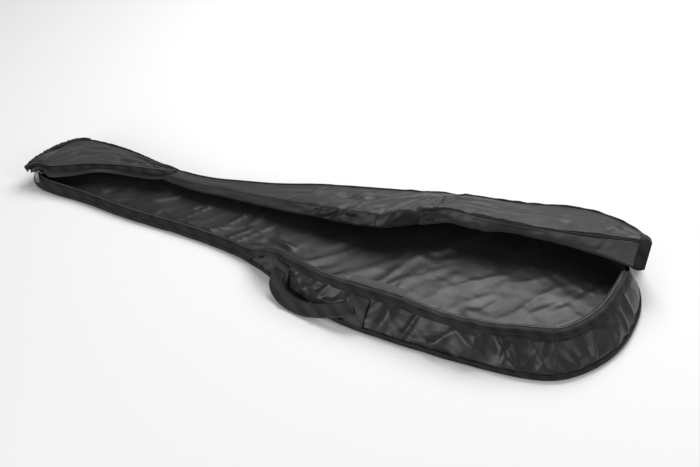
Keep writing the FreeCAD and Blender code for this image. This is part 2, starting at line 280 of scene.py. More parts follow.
def bake(obj):
    """Applies the modifiers, so that the mesh itself is the final shape."""
    bpy.context.view_layer.update()
    shaped = obj.evaluated_get(bpy.context.evaluated_depsgraph_get())
    mesh = bpy.data.meshes.new_from_object(shaped)
    obj.modifiers.clear()
    obj.data = mesh
    mesh.shade_smooth()
    return obj


def cloth(name, grid, thickness, material, subdivide=1):
    """A sheet with thickness from a grid of points in millimetres."""
    rows, columns = grid.shape[:2]
    corners = [i * columns + j for i in range(rows - 1) for j in range(columns - 1)]
    faces = [(a, a + columns, a + columns + 1, a + 1) for a in corners]
    obj = add_object(name, grid.reshape(-1, 3), faces, material)
    solid = obj.modifiers.new("thickness", "SOLIDIFY")
    solid.thickness = thickness * MM
    solid.offset = 0
    solid.use_even_offset = False
    if subdivide:
        smooth = obj.modifiers.new("smooth", "SUBSURF")
        smooth.levels = smooth.render_levels = subdivide
    return bake(obj)


def place(obj, body, slot, *nodes):
    """Puts the piece on its body, in place of the CAD nodes. slot is not used."""
    if nodes:
        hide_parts(*nodes)
    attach(obj, body)


def layers(name):
    """The CAD nodes of a padded panel: its lining, foam and outer cloth."""
    return [f"{name}_{layer}" for layer in ("lining", "foam", "shell")]


# ---- materials ----
def new_material(name, color):
    """A material, its node tree and its shader's inputs."""
    material = bpy.data.materials.new(name)
    material.use_nodes = True
    material.diffuse_color = (*color, 1)
    return material, material.node_tree, material.node_tree.nodes["Principled BSDF"].inputs


def add_node(tree, kind, output, inputs, **settings):
    """Adds a node. Each input is set to a value or linked to another node's output."""
    node = tree.nodes.new(kind)
    for key, value in settings.items():
        setattr(node, key, value)
    for key, value in inputs.items():
        if isinstance(value, bpy.types.NodeSocket):
            tree.links.new(value, node.inputs[key])
        else:
            node.inputs[key].default_value = value
    return node.outputs[output]


def mix_colors(tree, amount, first, second):
    """A node that goes from the first colour to the second as amount goes from 0 to 1."""
    return add_node(tree, "ShaderNodeMix", "Result", {"Factor": amount, "A": first, "B": second},
                    data_type="RGBA")


def cloth_material(name, color, light, rough, weave=0.0, crinkle=0.0, sheen=0.1, weave_size=0.8,
                   crinkle_size=28.0, ribs=0.0, rib_size=2.5, gloss=0.5):
    """Woven cloth: colour variation, thread bump, ribs across a tape with painted shade in their valleys,
    and fine crinkles.
    """
    material, tree, shader = new_material(name, color)
    shader["Sheen Weight"].default_value = sheen
    shader["Sheen Roughness"].default_value = 0.45
    shader["Specular IOR Level"].default_value = gloss
    place_of = add_node(tree, "ShaderNodeTexCoord", "Object", {})
    patches = add_node(tree, "ShaderNodeTexNoise", "Fac", {"Scale": 22, "Detail": 6, "Vector": place_of})
    tint = mix_colors(tree, patches, (*color, 1), (*light, 1))
    shine = add_node(tree, "ShaderNodeMapRange", "Result", {
        "Value": patches, "From Min": 0.3, "From Max": 0.7, "To Min": rough - 0.07,
        "To Max": rough + 0.07})
    tree.links.new(shine, shader["Roughness"])

    bumps = []

    def add_bump(height, strength, distance):
        inputs = {"Strength": strength, "Distance": distance, "Height": height}
        if bumps:
            inputs["Normal"] = bumps[-1]
        bumps.append(add_node(tree, "ShaderNodeBump", "Normal", inputs))

    if crinkle:
        folds = add_node(tree, "ShaderNodeTexNoise", "Fac", {
            "Scale": crinkle_size, "Detail": 4, "Distortion": 0.6, "Vector": place_of},
            noise_type="RIDGED_MULTIFRACTAL")
        add_bump(folds, crinkle, 1.5 * MM)
    if weave:
        threads = [
            add_node(tree, "ShaderNodeTexWave", "Fac", {
                "Scale": 0.05 / (weave_size * MM), "Distortion": 0.4, "Vector": place_of},
                bands_direction=direction)
            for direction in ("X", "Y")]
        cross = add_node(tree, "ShaderNodeMath", "Value", dict(enumerate(threads)),
                         operation="MULTIPLY")
        add_bump(cross, weave, 0.3 * MM)
    if ribs:
        rows = add_node(tree, "ShaderNodeTexWave", "Fac", {
            "Scale": 0.05 / (rib_size * MM), "Distortion": 1.2, "Detail": 1, "Vector": place_of},
            bands_direction="DIAGONAL")
        add_bump(rows, ribs, 0.6 * MM)
        # Painted shade: the colour darkens in the valleys between the ribs, where the bump is low.
        rib_valley_shade = add_node(tree, "ShaderNodeMath", "Value", {0: 0.85, 1: rows}, operation="SUBTRACT")
        tint = mix_colors(tree, rib_valley_shade, tint, (*[c * 0.25 for c in color], 1))
    tree.links.new(tint, shader["Base Color"])
    if bumps:
        tree.links.new(bumps[-1], shader["Normal"])
    return material


def metal_material(name, color, rough):
    """Plated metal with worn, darker patches."""
    material, tree, shader = new_material(name, color)
    shader["Metallic"].default_value = 1.0
    place_of = add_node(tree, "ShaderNodeTexCoord", "Object", {})
    wear = add_node(tree, "ShaderNodeTexNoise", "Fac", {"Scale": 420, "Detail": 5, "Vector": place_of})
    tint = mix_colors(tree, wear, (*[c * 0.45 for c in color], 1), (*color, 1))
    shine = add_node(tree, "ShaderNodeMapRange", "Result", {
        "Value": wear, "To Min": rough - 0.1, "To Max": rough + 0.15})
    bump = add_node(tree, "ShaderNodeBump", "Normal", {
        "Strength": 0.25, "Distance": 0.2 * MM, "Height": wear})
    for key, value in (("Base Color", tint), ("Roughness", shine), ("Normal", bump)):
        tree.links.new(value, shader[key])
    return material


NYLON_OUT = cloth_material("outer nylon", (0.0078, 0.0071, 0.0086), (0.0150, 0.0137, 0.0162), 0.40,
                           weave=0.35, crinkle=0.16, crinkle_size=11, sheen=0.05, gloss=0.36)
NYLON_IN = cloth_material("inner lining", (0.0086, 0.0077, 0.0088), (0.0180, 0.0163, 0.0184), 0.42,
                          weave=0.3, crinkle=0.5, sheen=0.05, crinkle_size=30, gloss=0.36)
LID_OUT = cloth_material("lid outer nylon", (0.012, 0.0112, 0.0122), (0.027, 0.0252, 0.0275), 0.50,
                         weave=0.4, crinkle=0.7, sheen=0.12, crinkle_size=18, gloss=0.4)
LID_LINING = cloth_material("lid lining", (0.0115, 0.0105, 0.0118), (0.0205, 0.0190, 0.0212), 0.50,
                            weave=0.4, crinkle=0.35, sheen=0.11, crinkle_size=16, gloss=0.33)
# The lid lining again, painted lighter: it stands in for the light that falls on the fold's face.
LID_LINING_PAINTED_LIGHTER = cloth_material("lid lining painted lighter at the fold", (0.028, 0.0262, 0.0286), (0.047, 0.0440, 0.0482), 0.49,
                          weave=0.4, crinkle=0.35, sheen=0.14, crinkle_size=16, gloss=0.40)
BINDING = cloth_material("edge binding", (0.0065, 0.0060, 0.0066), (0.0135, 0.0126, 0.0138), 0.66,
                         weave=0.6, weave_size=1.4, ribs=0.9, rib_size=3.0, sheen=0.05, gloss=0.25)
ZIP_TAPE = cloth_material("zip tape", (0.0068, 0.0063, 0.0067), (0.0165, 0.0154, 0.0164), 0.64,
                          weave=0.5, ribs=1.0, rib_size=3.4, sheen=0.06, gloss=0.22)
ZIP_COIL = cloth_material("zip coil", (0.020, 0.019, 0.020), (0.052, 0.050, 0.052), 0.38,
                          sheen=0.0, gloss=0.6)
WEBBING = cloth_material("webbing", (0.0135, 0.0122, 0.0118), (0.0260, 0.0236, 0.0228), 0.56,
                         weave=0.6, weave_size=1.6, ribs=1.0, rib_size=3.2, sheen=0.08, gloss=0.35)
FOAM_CORE = cloth_material("padding foam", (0.06, 0.06, 0.063), (0.09, 0.09, 0.094), 0.85,
                           crinkle=0.2, sheen=0.0, crinkle_size=300, gloss=0.2)
THREAD = cloth_material("stitching thread", (0.012, 0.012, 0.013), (0.032, 0.031, 0.033), 0.5,
                        sheen=0.05, gloss=0.4)
TAB_CLOTH = cloth_material("inner tab cloth", (0.024, 0.023, 0.025), (0.037, 0.035, 0.038), 0.6,
                           weave=0.4, sheen=0.2, gloss=0.3)
SLIDER = metal_material("slider metal", (0.42, 0.41, 0.40), 0.38)


# ---- lower bag ----
def wall_grid(t, v, depth=0.0, bulge=3.0):
    """The wall's surface: t along the seam, v from the panel to the rim, depth from outside. It
    returns the points, with the arc length, the share of the height and the rim at each."""
    tt, vv = np.meshgrid(t, v, indexing="ij")
    rim = rim_profile(tt, RIM_HEIGHT)
    swell = bulge * np.sin(math.pi * vv) * unit((rim - 20) / 40)
    inset = rim_profile(tt, RIM_LEAN) * vv ** WALL_CURVE + depth - swell
    height = WALL_FOOT + (rim - WALL_FOOT) * vv
    return np.dstack([on_seam(tt, inset), height]), tt, vv, rim


WALLS = {
    "zip_side_neck_wall": (("zip", -600), ("zip", -125)),
    "zip_side_body_wall": (("zip", -125), ("zip", 520)),
    "tail_wall": (("zip", 520), ("hinge", 560)),
    "hinge_side_body_wall": (("hinge", 560), ("hinge", 20)),
    "hinge_side_neck_wall": (("hinge", 20), ("hinge", -555)),
    "head_end_wall": (("hinge", -555), ("zip", -600)),
}


def wall_creases():
    """Creases over the walls in arc length and height: slack folds and pulls at the handle."""
    low, high = seam_at("zip", -110), seam_at("zip", 520)
    found = crease_field(11, 30, (low, 8), (high, 58), 60, 6.0, 1.5, 35, 28)
    found += crease_field(12, 22, (low, 5), (high, 50), 70, 4.5, 1.3, -38, 22)
    waist = seam_at("zip", -20)
    found += crease_field(13, 26, (waist - 60, 5), (waist + 60, 50), 55, 5.0, 2.8, 55, 24)
    found += crease_field(15, 24, (waist + 40, 8), (waist + 220, 52), 44, 4.0, 2.6, 62, 26)
    found += crease_field(14, 20, (high, 6), (high + 330, 56), 60, 6.0, 1.4, -60, 35)
    return found


def walls():
    """Each wall's outer cloth, lining and foam core. The hinge side's walls have no creases."""
    creases = wall_creases()
    for name, (start, stop) in WALLS.items():
        t = stretch(start, stop, WALL_STEP)
        tall = 18 if "body" in name or "tail" in name else 9
        v = np.linspace(0, 1, tall)
        grid, tt, vv, rim = wall_grid(t, v)
        if "hinge" not in name:
            fade = unit(np.minimum(vv, 1 - vv) * 5)
            amount = crumple(tt, vv * rim, creases) + ripple(tt, vv * rim, 90, 34, 2.6, 3.1)
            folds = crinkle(tt, vv * rim, 150, 44, 62, 5.4, 1.7)
            folds += crinkle(tt, vv * rim, 130, 38, -42, 4.2, 3.9)
            amount = (amount + folds) * np.clip((rim - 22) / 25, 0.2, 1)
            grid = push(grid, amount * fade)
        shell = cloth(name + "_shell_cloth", grid, NYLON, NYLON_OUT)
        place(shell, ROOT, "outer_nylon", name + "_shell")

        inner, tt, vv, rim = wall_grid(t, v, depth=NYLON + PADDING, bulge=0.0)
        slope = ripple(tt, vv * rim, 34, 40, 1.6, 7.7) * unit((1 - vv) * 4)
        inner = push(inner, slope)
        lining = cloth(name + "_lining_cloth", inner, LINING, NYLON_IN)
        place(lining, ROOT, "inner_lining", name + "_lining")

        core, *_ = wall_grid(t[::3], np.linspace(0.02, 0.93, 5), depth=4.0, bulge=0.0)
        foam = cloth(name + "_foam_core", core, 2.6, FOAM_CORE, subdivide=0)
        place(foam, ROOT, "padding_foam", name + "_foam")


def side_point(x, side, inset):
    """The seam's point nearest x on the zipped or the hinge half of the bag."""
    middle = 8.0 if x > 300 else -15.0
    half = SEAM[:, 1] < middle if side == "zip" else SEAM[:, 1] >= middle
    gap = np.abs(SEAM[:, 0] - x)
    gap[~half] = 1e9
    i = int(np.argmin(gap))
    return SEAM[i] + SEAM_INWARD[i] * inset


def back_panel():
    """The lining that the bag's contents lie on, with the foam core and outer cloth under it."""
    x = np.concatenate([[-612, -609], np.arange(-604, 592, 6.0), [596, 599]])
    v = np.linspace(0, 1, 56)
    near, far = (np.array([side_point(a, side, PANEL_INSET) for a in x]) for side in ("zip", "hinge"))
    xy = near[:, None, :] * (1 - v)[None, :, None] + far[:, None, :] * v[None, :, None]
    grid = np.dstack([xy, np.full(xy.shape[:2], FLOOR_CLOTH)])
    u, w = grid[..., 0], grid[..., 1]
    creases = crease_field(21, 60, (-590, -100), (-60, 50), 70, 6, 2.2, 60, 25)
    creases += crease_field(22, 90, (-60, -190), (590, 190), 110, 8, 2.6, 20, 40)
    edge = unit(np.minimum(v, 1 - v) * 10)[None, :]
    ends = unit((u + 610) / 40) * unit((600 - u) / 40)
    amount = np.maximum(crumple(u, w, creases), -0.8) + ripple(u, w, 90, 60, 2.4, 1.3) + 1.4
    folds = crinkle(u, w, 170, 34, 58, 3.2, 5.5) + crinkle(u, w, 120, 30, -25, 2.0, 2.5)
    amount += np.maximum(folds, -0.8)
    grid[..., 2] += amount * edge * ends
    lining = cloth("back_panel_lining_cloth", grid, LINING, NYLON_IN)
    place(lining, ROOT, "inner_lining", "back_panel_lining")

    flat = grid[::2, ::3].copy()
    flat[..., 2] = 5.2
    foam = cloth("back_panel_foam_core", flat, 5.5, FOAM_CORE, subdivide=0)
    place(foam, ROOT, "padding_foam", "back_panel_foam")

    under = grid[:, ::2].copy()
    under[..., 2] = NYLON + np.clip(ripple(under[..., 0], under[..., 1], 70, 50, 1.2, 5.5), -0.6, 1.2)
    shell = cloth("back_panel_shell_cloth", under, NYLON, NYLON_OUT, subdivide=0)
    place(shell, ROOT, "outer_nylon", "back_panel_shell")


def sleeve_faces(first, rings, sides, closed=False):
    """Faces that join rings of points, numbered from first. The ends are capped, or joined."""
    faces = []
    for i in range(rings if closed else rings - 1):
        a, b = first + i * sides, first + (i + 1) % rings * sides
        faces += [(a + j, a + (j + 1) % sides, b + (j + 1) % sides, b + j) for j in range(sides)]
    if not closed:
        last = first + (rings - 1) * sides
        faces.append(tuple(reversed(range(first, first + sides))))
        faces.append(tuple(range(last, last + sides)))
    return faces


def tube(name, centre, radius_across, radius_up, material, sides=10, closed=False, taper=0):
    """A rounded band along a row of points: an ellipse swept with its long axis level. The band
    narrows over taper points at each end."""
    count = len(centre)
    place_in = np.arange(count)
    narrow = np.clip((np.minimum(place_in, count - 1 - place_in) + 1) / (taper + 1), 0.15, 1)
    ahead = np.roll(centre, -1, axis=0) - np.roll(centre, 1, axis=0)
    if not closed:
        ahead[0], ahead[-1] = centre[1] - centre[0], centre[-1] - centre[-2]
    ahead /= np.linalg.norm(ahead, axis=1, keepdims=True)
    side = np.cross(ahead, [0, 0, 1.0])
    side /= np.linalg.norm(side, axis=1, keepdims=True)
    up = np.cross(side, ahead)
    angle = np.linspace(0, 2 * math.pi, sides, endpoint=False)
    rings = (centre[:, None]
             + side[:, None] * np.outer(radius_across * narrow, np.cos(angle))[..., None]
             + up[:, None] * np.outer(radius_up * narrow, np.sin(angle))[..., None])
    faces = sleeve_faces(0, count, sides, closed)
    obj = add_object(name, rings.reshape(-1, 3), faces, material)
    obj.data.validate()
    fixed = bmesh.new()
    fixed.from_mesh(obj.data)
    bmesh.ops.recalc_face_normals(fixed, faces=fixed.faces)
    fixed.to_mesh(obj.data)
    fixed.free()
    return obj


def binding():
    """Ribbed tape folded over the seam where the walls meet the back panel."""
    t = np.linspace(0, SEAM_LENGTH, 700, endpoint=False)
    flat = on_seam(t, -1.6 + 0.8 * noise_field(t / 55, 2.2, 0))
    centre = np.column_stack([flat, 6.6 + 1.3 * noise_field(t / 38, 9.1, 0)])
    obj = tube("back_panel_binding_tape", centre, 2.8, 5.6, BINDING, closed=True)
    place(obj, ROOT, "edge_binding", "back_panel_binding")


def zip_band(name, start, stop):
    """Zip tape folded over the rim: it hangs outside the wall and turns in over the lining."""
    tt, vv = np.meshgrid(stretch(start, stop, WALL_STEP), np.linspace(0, 1, 7), indexing="ij")
    rim = rim_profile(tt, RIM_HEIGHT)
    neck = unit((45 - rim) / 20)
    low = -np.clip(rim - 9, 6, 15) * neck - 8.5 * (1 - neck)
    over = 0.45 + 0.25 * neck
    lift = low + (2.5 - low) * np.minimum(vv / over, 1)
    up = unit((rim - WALL_FOOT + lift) / (rim - WALL_FOOT))
    inset = rim_profile(tt, RIM_LEAN) * up ** WALL_CURVE - 3.6
    inset += (16 - 7 * neck) * unit(vv - over) / (1 - over)
    grid = np.dstack([on_seam(tt, inset), rim + lift])
    grid = push(grid, ripple(tt, vv * TAPE_WIDTH, 26, 30, 1.4, 4.4) * (1 - 0.6 * neck))
    node = f"lower_zip_{name}_tape"
    tape = cloth(node + "_cloth", grid, TAPE, ZIP_TAPE)
    place(tape, ROOT, "zip_tape", node)
    stitches(f"lower_zip_{name}_stitches", grid[:, 1] + [0, 0, 0.9], ROOT, pitch=4.2, size=(2.6, 0.45))
    return grid[:, 5] + [0, 0, 1.0]


def coil_along(name, line, body, *nodes, pitch=1.8, radius=1.2):
    """A zip coil: small rounded teeth, one for each turn, set close along a line."""
    points = points_at(np.arange(0, distances(line)[-1], pitch), line)
    centre = np.repeat(points, 2, axis=0)
    size = np.tile([1.0, 0.62], len(points)) * radius
    centre[1::2] = (points + np.roll(points, -1, axis=0)) / 2
    centre = centre[:-1]
    obj = tube(name, centre, size[:-1] * 1.35, size[:-1], ZIP_COIL, sides=6)
    place(obj, body, "zip_coil", *nodes)


STITCH_SIDES = 5
STITCH_RINGS = ((0.0, 0.35), (0.2, 1.0), (0.8, 1.0), (1.0, 0.35))     # place along it, thickness


def stitches(name, line, body, pitch, size):
    """A row of thread stitches: short rounded bars sunk a little into the cloth."""
    at = np.arange(pitch / 2, distances(line)[-1] - size[0], pitch)
    points, faces = [], []
    for start, stop in zip(points_at(at, line), points_at(at + size[0], line)):
        ahead = stop - start
        ahead /= max(np.linalg.norm(ahead), 1e-9)
        side = np.cross(ahead, [0.1, 0.2, 1.0])
        side /= np.linalg.norm(side)
        up = np.cross(side, ahead)
        faces += sleeve_faces(len(points), len(STITCH_RINGS), STITCH_SIDES)
        for share, scale in STITCH_RINGS:
            centre = start + (stop - start) * share
            for turn in range(STITCH_SIDES):
                angle = turn * 2 * math.pi / STITCH_SIDES
                points.append(centre + (side * math.cos(angle) + up * math.sin(angle)) * size[1] * scale)
    place(add_object(name, points, faces, THREAD), body, "webbing")


def lower_zip():
    """The zip along the rim: three lengths of tape with their coils."""
    neck = zip_band("neck", ("zip", -603), ("zip", -130))
    side = zip_band("side", ("zip", -130), ("zip", 520))
    tail = zip_band("tail", ("zip", 520), ("tail", 84))
    coil_along("lower_zip_coil_teeth", np.vstack([side, tail[1:]]), ROOT, "lower_zip_coil")
    coil_along("lower_zip_neck_coil_teeth", neck, ROOT, "lower_zip_neck_coil")


# ---- lid ----
def bend(before, corner, after, share):
    """A rounded corner: share runs from 0 on the way in to 1 on the way out."""
    return before * (1 - share) ** 2 + corner * 2 * share * (1 - share) + after * share ** 2


# Shares q of the way round the folded lid: where the fold's lower and upper edges are, how much
# a ply and the fold's face take up, and how far the rounded corners reach.
FOLD_LOW, FOLD_TOP = 0.4, 0.6
PLY, FACE = 0.4, 0.2
LOW_REACH, TOP_REACH = 0.035, 0.02
LID_ROUND = 220.0      # rough length of the whole way round, for the scale of the creases


def fold_section(x, q):
    """The lid's fold at x. q runs from the hinge seam (0) along the lower ply to the fold's lower
    edge, up its face to the upper edge and back along the upper ply (1)."""
    low, top, far = ([lid(x, k), lid(x, k + 1)] for k in (LOW_Y, TOP_Y, FAR_Y))
    hinge = [far[0] - 6, np.minimum(far[1] - 16, 32.0)]
    places = []
    for k in (0, 1):
        rise = unit(q / PLY)
        lower = hinge[k] + (low[k] - hinge[k]) * (np.sin(rise * math.pi / 2) if k else rise)
        face = low[k] + (top[k] - low[k]) * (q - FOLD_LOW) / FACE
        back = unit((q - FOLD_TOP) / PLY)
        upper = top[k] + (far[k] - top[k]) * (back ** 1.2 if k else back)
        value = np.where(q < FOLD_LOW, lower, np.where(q < FOLD_TOP, face, upper))
        for corner, reach, ways, points in (
                (FOLD_LOW, LOW_REACH, (PLY, FACE), (hinge[k], low[k], top[k])),
                (FOLD_TOP, TOP_REACH, (FACE, PLY), (low[k], top[k], far[k]))):
            share = (q - corner + reach) / (2 * reach)
            before = points[1] + (points[0] - points[1]) * (reach / ways[0])
            after = points[1] + (points[2] - points[1]) * (reach / ways[1])
            rounded = bend(before, points[1], after, share)
            value = np.where(abs(q - corner) < reach, rounded, value)
        places.append(value)
    return places


def lid_grid(x, q):
    """The folded lid's surface, with x and the share q at each point."""
    xx, qq = np.meshgrid(x, q, indexing="ij")
    y, z = fold_section(xx, qq)
    return np.dstack([xx, y, z]), xx, qq


def joined(*spans):
    """Evenly spaced values over several spans (start, stop, count) that meet end to end."""
    first, *rest = (np.linspace(*span) for span in spans)
    return np.concatenate([first, *(values[1:] for values in rest)])


# Spans of q round the fold, with the number of points in each.
FOLD_SPANS = ((0.36, 0.44, 7), (0.44, 0.58, 7))
TOP_SPAN = (0.58, 0.64, 6)


def lid_relief(xx, qq):
    """Creases and swelling over the whole lid, in millimetres."""
    v = qq * LID_ROUND
    relief = crumple(xx, v, LID_CREASES) + ripple(xx, v, 75, 46, 3.4, 8.2)
    relief += ripple(xx, v, 24, 17, 0.7, 2.9)
    relief += crinkle(xx, v, 160, 26, 8, 1.4, 4.4) + crinkle(xx, v, 80, 24, 55, 1.0, 6.2)
    size = np.clip((lid(xx, TOP_Z) - lid(xx, LOW_Z)) / 22, 0.35, 1)
    return -relief * size * unit(qq * 6) * np.clip((1 - qq) * 8, 0.25, 1)


LID_CREASES = (
    crease_field(31, 34, (-580, 80), (-150, 215), 90, 7, 1.6, 8, 30)
    + crease_field(34, 60, (-60, 85), (230, 215), 80, 6, 3.6, 25, 45)
    + crease_field(32, 20, (-10, 95), (260, 150), 70, 5, 3.2, 65, 20)
    + crease_field(33, 40, (230, 130), (600, 215), 110, 8, 1.7, 5, 35)
    + crease_field(35, 16, (240, 88), (600, 130), 40, 6, 1.5, 80, 20)
)


def fold_with_lid(obj):
    """Bakes the piece's transform into its mesh."""
    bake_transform(obj)


def lid_body():
    """The lid over the body: the fold, the leaf that lies back from it, and their trim."""
    x = np.concatenate([np.arange(MOVING_START, BODY_END, 5.0), [BODY_END]])
    settle = unit((OVERLAP + 14 - x) / 14)[:, None, None] * [0, 0, 3.2]
    grid, xx, qq = lid_grid(x, joined((0, 0.36, 12), *FOLD_SPANS))
    grid = push(grid, lid_relief(xx, qq)) - settle
    # The hinge leaf, with the fold's face, takes the lid lining painted lighter for the light on that
    # face.
    hinge = cloth("lid_hinge_leaf_cloth", grid, LID_PAD, LID_LINING_PAINTED_LIGHTER)
    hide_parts(*layers("lid_hinge_leaf"))
    fold_with_lid(hinge)

    grid, xx, qq = lid_grid(x, joined(TOP_SPAN, (0.64, 1, 28)))
    grid = push(grid, lid_relief(xx, qq)) - settle
    top = cloth("lid_top_leaf_cloth", grid, LID_PAD, LID_LINING)
    place(top, TOP_LEAF, "inner_lining", *layers("lid_top_leaf"))

    line = grid[4:, 2] + [0, -0.5, 2.2]
    piping = tube("lid_fold_piping", line, 1.4, 1.4, LID_LINING, sides=8)
    place(piping, TOP_LEAF, "inner_lining")
    far = grid[3:, -1] + [0, 2.0, 0.0]
    lift = ripple(far[:, 0], far[:, 1] * 0, 18, 10, 1.6, 3.3)
    far = far + np.outer(lift, [0, 0.4, 1])
    edge = tube("lid_far_edge_binding", far, 3.5, 3.9, BINDING, taper=5)
    place(edge, TOP_LEAF, "edge_binding")
    stitches("lid_far_edge_stitches", far + [0, -2.5, 4.4], TOP_LEAF, pitch=6.5, size=(3.4, 0.6))
    hanging_edge(x[2:], grid[2:, -1, 1:])


LOWEST_STRIP, LOWEST_DRAPE = 2.0, 3.2     # how near the floor the hanging cloth comes


def hanging_edge(x, far):
    """The lid's drop leaf, with the gusset strip, zip tape and coil along its foot. far holds the
    y and z of the lid's far edge at each x."""
    steep = np.interp(x, [400, 575], [1.1, 0.5])
    foot = np.minimum(262, lid(x, FAR_Y) + steep * lid(x, FAR_Z) - 6)
    foot -= 22 * unit((240 - x) / 45) ** 2
    lower_edge = drape("lid_drop_leaf", np.column_stack([x, far + [-1, -3]]), foot, DROP_LEAF, 5.1)
    flat = [lower_edge + [0, dy, dz] for dy, dz in ((-4, 1.5), (4, 1.8), (10, 0.4), (14, 0.2))]
    strip_grid = np.stack(flat, axis=1)
    strip_grid[..., 2] = np.maximum(strip_grid[..., 2], LOWEST_STRIP)
    strip = cloth("lid_gusset_strip_cloth", strip_grid, NYLON, NYLON_OUT)
    place(strip, DROP_LEAF, "outer_nylon", "lid_gusset_strip")
    tape_grid = np.stack([strip_grid[:, 3] + [0, dy, 0.6] for dy in (-4, 0, 4, 8)], axis=1)
    tape_grid[..., 2] = np.maximum(tape_grid[..., 2], LOWEST_STRIP)
    tape = cloth("upper_zip_tape_cloth", tape_grid, TAPE, ZIP_TAPE)
    place(tape, DROP_LEAF, "zip_tape", "upper_zip_tape")
    coil_along("upper_zip_coil_teeth", tape_grid[:, 3] + [0, 0.5, 0.4], DROP_LEAF, "upper_zip_coil")


TAIL_TAPE_CENTRE = (120.0, 72.0)     # the tail tape's points are pushed away from this y and z


def lid_tail_tape():
    """Zip tape on the lid's tail end: a stiff band shaped round the fold's section."""
    q = joined((0.37, 0.43, 6), (0.43, 0.57, 8), (0.57, 0.65, 8), (0.65, 0.97, 14))
    y, z = fold_section(np.full_like(q, BODY_END - 2), q)
    for _ in range(3):
        y[1:-1] = (y[:-2] + y[1:-1] + y[2:]) / 3
        z[1:-1] = (z[:-2] + z[1:-1] + z[2:]) / 3
    away = np.column_stack([y, z]) - TAIL_TAPE_CENTRE
    away /= np.hypot(*away.T)[:, None]
    rows = []
    for share in np.linspace(0, 1, 6):
        lift = 3.6 * math.sin(math.pi * (0.25 + 0.5 * share)) - 4.0 * share ** 3
        x = np.full_like(q, BODY_END - 4 + 18 * share) - 6 * unit((q - 0.62) / 0.35)
        rows.append(np.column_stack([x, y + away[:, 0] * lift, z + away[:, 1] * lift]))
    grid = np.stack(rows, axis=1)
    tape = cloth("lid_tail_zip_tape_cloth", grid, 1.6, ZIP_TAPE)
    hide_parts("lid_tail_zip_tape")
    fold_with_lid(tape)
    for name, column in (("inner", 0), ("outer", 5)):
        edge = tube("lid_tail_zip_tape_" + name + "_edge", grid[:, column], 1.3, 1.3, BINDING, sides=6)
        fold_with_lid(edge)


def fold_face_seam(name, x, body=None):
    """A sewn seam down the fold's face."""
    q = np.linspace(FOLD_LOW, FOLD_TOP + 0.01, 16)
    y, z = fold_section(np.full_like(q, x), q)
    grid = np.column_stack([np.full_like(q, x), y - 1.9, z + 0.6])
    seam = tube(name, grid, 1.1, 1.1, THREAD, sides=6)
    if body:
        place(seam, body, "inner_lining")
    else:
        fold_with_lid(seam)


def drape(name, top, foot_y, body, seed):
    """Cloth that hangs from the folded lid's far edge down to the floor behind the bag. It
    returns the line of its lower edge."""
    xx, vv = np.meshgrid(top[:, 0], np.linspace(0, 1, 18), indexing="ij")
    top_y, top_z = top[:, 1:2], top[:, 2:3]
    y = top_y + (foot_y[:, None] - top_y) * vv ** 1.3
    z = top_z + (5.0 - top_z) * np.sin(vv * math.pi / 2) ** 0.9
    grid = np.dstack([xx, y, z])
    folds = ripple(xx, vv * 80, 44, 300, 5.0, seed) + ripple(xx, vv * 80, 22, 30, 1.4, seed + 3)
    grid = push(grid, folds * unit(vv * 2))
    grid[..., 2] = np.maximum(grid[..., 2], LOWEST_DRAPE)
    obj = cloth(name + "_cloth", grid, 4.0, NYLON_OUT)
    if body == DROP_LEAF:
        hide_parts(*layers(name))
        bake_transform(obj)
    else:
        place(obj, body, "outer_nylon", *layers(name))
    return grid[:, -1]


def neck_lid():
    """The lid's two plies over the neck, and the cloth that hangs behind them."""
    x = np.concatenate([np.arange(NECK_START, OVERLAP, 4.5), [OVERLAP]])
    grid, xx, qq = lid_grid(x, joined((0.02, 0.36, 9), *FOLD_SPANS, TOP_SPAN, (0.64, 1.0, 20)))
    grid = push(grid, lid_relief(xx, qq))
    obj = cloth("neck_lid_cloth", grid, 3.2, LID_LINING)
    place(obj, ROOT, "inner_lining", *layers("neck_lid_lower"), *layers("neck_lid_upper"))
    hangs = x > -592
    edge = np.column_stack([x[hangs], grid[hangs, -1, 1:]])
    foot = edge[:, 1] + 24 + 10 * unit(edge[:, 0] / 150)
    drape("neck_lid_drape", edge + [0, -1, -1.5], foot, ROOT, 6.6)
    edge = tube("neck_lid_far_edge_binding", grid[x > -350, -1] + [0, 1.0, 0.6], 2.6, 3.0, BINDING,
                sides=8, taper=6)
    place(edge, ROOT, "edge_binding")


# ---- head end of the lid ----
HEAD_TAPE = [(-609, -86, 43), (-596, -80, 49), (-582, -78, 50.5), (-566, -77, 50), (-544, -66, 50),
             (-495, -34, 50), (-439, -10, 49), (-379, 8, 47), (-335, 22, 44)]
HEAD_OPENING = [(-606, -91, 34), (-594, -83, 42), (-580, -82, 43), (-564, -88, 39), (-531, -74, 39),
                (-482, -36, 40), (-404, -15, 40), (-365, -6, 40), (-330, 12, 40)]
HEAD_FAR = [(-614, -70, 42), (-609, -36, 43), (-603, 0, 43), (-598, 24, 42), (-580, 49, 41),
            (-540, 56, 41), (-491, 57, 41), (-430, 51, 40), (-381, 42, 40), (-328, 37, 41)]
# The seam round the head end, the top of the cloth under it, and the seam along the far side.
HEAD_SEAM = [(-608, -94, 34), (-611, -91, 39), (-612, -76, 43), (-609, -40, 45), (-603, -5, 45),
             (-598, 16, 43), (-590, 36, 41.5), (-576, 49, 41), (-556, 54, 41)]
HEAD_END_TOP = [(-606, -90, 36), (-610, -76, 42), (-606, -40, 44), (-600, -5, 44), (-596, 16, 43),
                (-590, 34, 41), (-576, 47, 41), (-560, 52, 41)]
HEAD_SIDE = [(-600, 24, 41), (-590, 41, 41), (-576, 50, 41), (-540, 56, 41.5), (-491, 57, 41.5),
             (-430, 51, 40.5), (-381, 42, 40), (-328, 37, 41)]
HEAD_POINTS = 90
HEAD_LENGTH, HEAD_WIDTH = 300, 110


